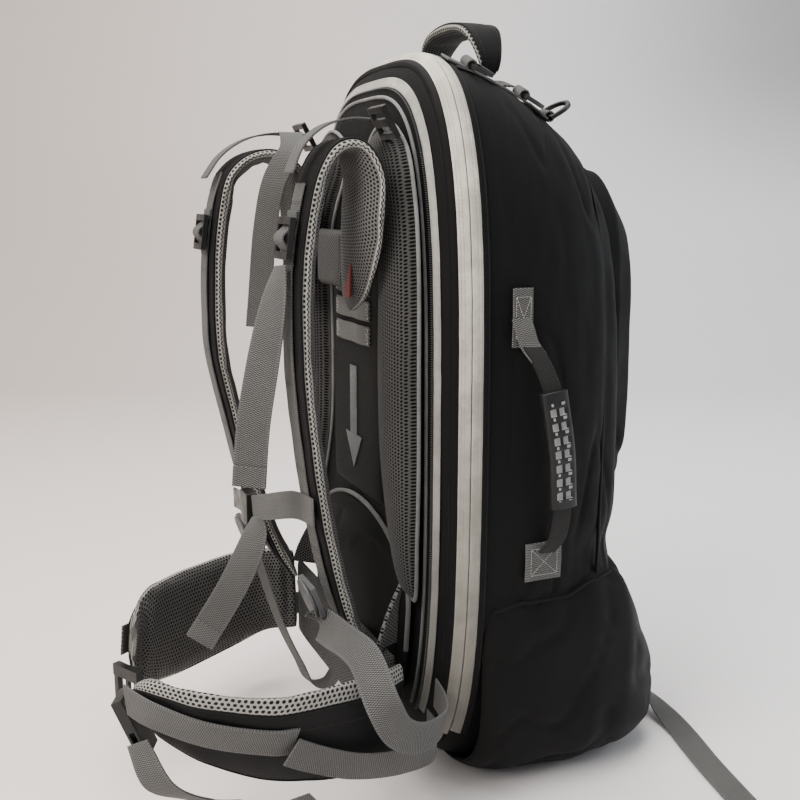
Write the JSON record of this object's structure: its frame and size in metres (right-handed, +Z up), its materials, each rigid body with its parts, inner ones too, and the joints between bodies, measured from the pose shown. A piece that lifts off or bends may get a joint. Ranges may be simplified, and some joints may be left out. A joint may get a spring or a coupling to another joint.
{
  "type": "travel and ski backpack",
  "caption": "Tall zip-round travel and ski backpack: panelled bag with front and base pockets, padded adjustable harness, hinged hip belt, carry handles and lash rings.",
  "frame": {"origin": "middle of the flat base the pack stands on", "axes": "+Z up, -Y towards the wearer's back, +X the wearer's right"},
  "size_m": [0.476, 0.6071, 0.736],
  "materials": {
    "shell_fabric": "black ripstop weave",
    "lining_fabric": "dark knitted lining",
    "air_mesh": "open spacer mesh over grey backing",
    "webbing": "ribbed grey webbing",
    "zip_tape": "off-white woven tape with coil",
    "plastic": "fine satin moulded",
    "rubber": "matt moulded",
    "board": "satin sheet",
    "alloy": "brushed"
  },
  "bodies": {
    "bag": {"front_panel": "shell_fabric", "top_panel": "shell_fabric", "bottom_panel": "shell_fabric", "side_panel_right": "shell_fabric", "side_panel_left": "shell_fabric", "front_pocket": "shell_fabric", "bottom_pocket": "shell_fabric", "main_zip_tape_front": "zip_tape", "side_handle_anchor_top": "webbing", "side_handle_anchor_bottom": "webbing", "lash_webbing": "webbing", "compression_strap": "webbing"},
    "back_section": {"back_shell": "shell_fabric", "main_zip_tape_back": "zip_tape", "cover_zip_tape": "zip_tape", "frame_sheet": "board", "frame_stay_right": "alloy", "frame_stay_left": "alloy", "back_pad_right": "air_mesh", "back_pad_left": "air_mesh", "lumbar_pad": "lining_fabric", "adjuster_panel": "lining_fabric", "hip_belt_core": "air_mesh", "lifter_ladder_lock_right": "plastic", "lifter_ladder_lock_left": "plastic", "lower_webbing_right": "webbing", "lower_webbing_left": "webbing", "hip_stabiliser_right": "webbing", "hip_stabiliser_left": "webbing"},
    "harness": {"yoke": "air_mesh", "shoulder_strap_right": "air_mesh", "shoulder_strap_left": "air_mesh", "strap_ladder_lock_right": "plastic", "strap_ladder_lock_left": "plastic", "end_ladder_lock_right": "plastic", "end_ladder_lock_left": "plastic", "load_lifter_right": "webbing", "load_lifter_left": "webbing", "strap_tail_right": "webbing", "sternum_webbing": "webbing", "sternum_buckle_socket": "plastic"},
    "sternum_plug_body": {"sternum_buckle_plug": "plastic"},
    "right_wing": {"hip_wing_right": "air_mesh", "hip_webbing_right": "webbing", "hip_buckle_socket": "plastic", "hip_webbing_tail": "webbing"},
    "left_wing": {"hip_wing_left": "air_mesh", "hip_webbing_left": "webbing", "hip_buckle_plug": "plastic"},
    "haul_grip": {"haul_handle": "air_mesh"},
    "side_grip": {"side_handle_strap": "webbing", "side_handle_grip": "rubber"},
    "rear_ring": {"lash_ring_rear": "plastic"},
    "middle_ring": {"lash_ring_middle": "plastic"},
    "front_ring": {"lash_ring_front": "plastic"},
    "upper_slider": {"main_zip_slider_upper": "plastic"},
    "upper_puller": {"main_zip_puller_upper": "webbing"},
    "lower_slider": {"main_zip_slider_lower": "plastic"},
    "lower_puller": {"main_zip_puller_lower": "webbing"},
    "cover_slider": {"cover_zip_slider": "plastic"}
  },
  "joints": [
    {"name": "main_zip_open", "type": "hinge", "parent": "bag", "child": "back_section", "pos_m": [0, -0.12515, 0.0138], "axis": [1, 0, 0], "range_deg": [0, 100]},
    {"name": "harness_height", "type": "slide", "parent": "back_section", "child": "harness", "axis": [0, 0, 1], "range_m": [-0.035, 0.035], "deforming": ["load_lifter_right", "load_lifter_left", "lower_webbing_right", "lower_webbing_left"]},
    {"name": "sternum_unclip", "type": "slide", "parent": "harness", "child": "sternum_plug_body", "axis": [-1, 0, 0], "range_m": [0, 0.025]},
    {"name": "right_wing_swing", "type": "hinge", "parent": "back_section", "child": "right_wing", "pos_m": [0.156, -0.188, 0.11], "axis": [0, 0, 1], "range_deg": [-12, 35], "deforming": ["hip_stabiliser_right", "lower_webbing_right"]},
    {"name": "left_wing_swing", "type": "hinge", "parent": "back_section", "child": "left_wing", "pos_m": [-0.156, -0.188, 0.114], "axis": [0, 0, 1], "range_deg": [-35, 8], "deforming": ["hip_stabiliser_left", "lower_webbing_left"]},
    {"name": "haul_handle_fold", "type": "hinge", "parent": "bag", "child": "haul_grip", "pos_m": [0, -0.056, 0.6855], "axis": [1, 0, 0], "range_deg": [-35, 35], "stiffness_Nm_per_rad": 0.5},
    {"name": "side_handle_fold", "type": "hinge", "parent": "bag", "child": "side_grip", "pos_m": [0.178, -0.064, 0.35], "axis": [0, -0.14, 0.9901], "range_deg": [-40, 40], "stiffness_Nm_per_rad": 0.3, "deforming": ["side_handle_strap"]},
    {"name": "rear_ring_swing", "type": "hinge", "parent": "bag", "child": "rear_ring", "pos_m": [0.08823, -0.09, 0.68819], "axis": [0.9328, -0.1249, -0.3382], "range_deg": [0, 150]},
    {"name": "middle_ring_swing", "type": "hinge", "parent": "bag", "child": "middle_ring", "pos_m": [0.08811, -0.0354, 0.66438], "axis": [0.9404, -0.1518, -0.3043], "range_deg": [0, 150]},
    {"name": "front_ring_swing", "type": "hinge", "parent": "bag", "child": "front_ring", "pos_m": [0.07121, 0.00167, 0.64642], "axis": [0.9806, -0.1183, -0.1561], "range_deg": [-65, 80]},
    {"name": "upper_slider_travel", "type": "slide", "parent": "bag", "child": "upper_slider", "axis": [0, 0, 1], "range_m": [0, 0.06]},
    {"name": "upper_puller_swing", "type": "hinge", "parent": "upper_slider", "child": "upper_puller", "pos_m": [-0.18145, -0.125, 0.438], "axis": [0, 1, 0], "range_deg": [0, 100]},
    {"name": "lower_slider_travel", "type": "slide", "parent": "bag", "child": "lower_slider", "axis": [0, 0, 1], "range_m": [-0.12, 0]},
    {"name": "lower_puller_swing", "type": "hinge", "parent": "lower_slider", "child": "lower_puller", "pos_m": [-0.18145, -0.125, 0.4], "axis": [0, 1, 0], "range_deg": [0, 100]},
    {"name": "cover_slider_travel", "type": "slide", "parent": "back_section", "child": "cover_slider", "axis": [0, 0, 1], "range_m": [-0.06, 0.1]}
  ]
}
